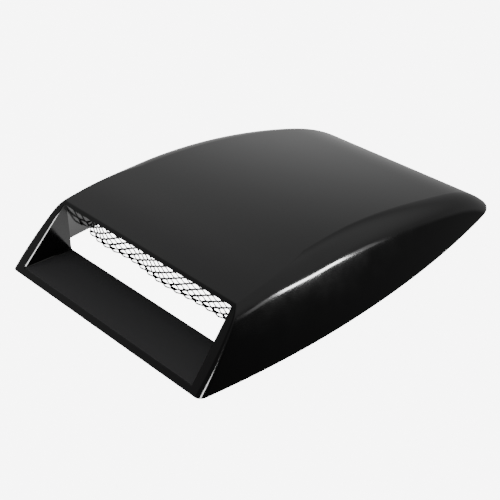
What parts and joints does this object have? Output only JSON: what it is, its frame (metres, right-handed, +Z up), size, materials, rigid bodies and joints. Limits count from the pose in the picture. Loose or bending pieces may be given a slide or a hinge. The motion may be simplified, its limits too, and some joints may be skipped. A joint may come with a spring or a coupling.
{
  "type": "car bonnet vent",
  "caption": "Moulded bonnet scoop with a raked front mouth, arched roof and bowed sides, open underneath, and a sheet of expanded metal mesh across its air path",
  "frame": {"origin": "middle of the scoop's footprint, on the bonnet's surface", "axes": "+X across the scoop to its left side as a driver sits, +Y from the mouth to the rear edge, +Z up off the bonnet; the mouth faces -Y"},
  "size_m": [0.2378, 0.3496, 0.0544],
  "materials": {
    "shell_plastic": "black moulded plastic with a soft gloss",
    "mesh_metal": "thin black coat on expanded metal"
  },
  "bodies": {
    "root": {"scoop_shell": "shell_plastic", "intake_mesh": "mesh_metal"}
  },
  "joints": []
}
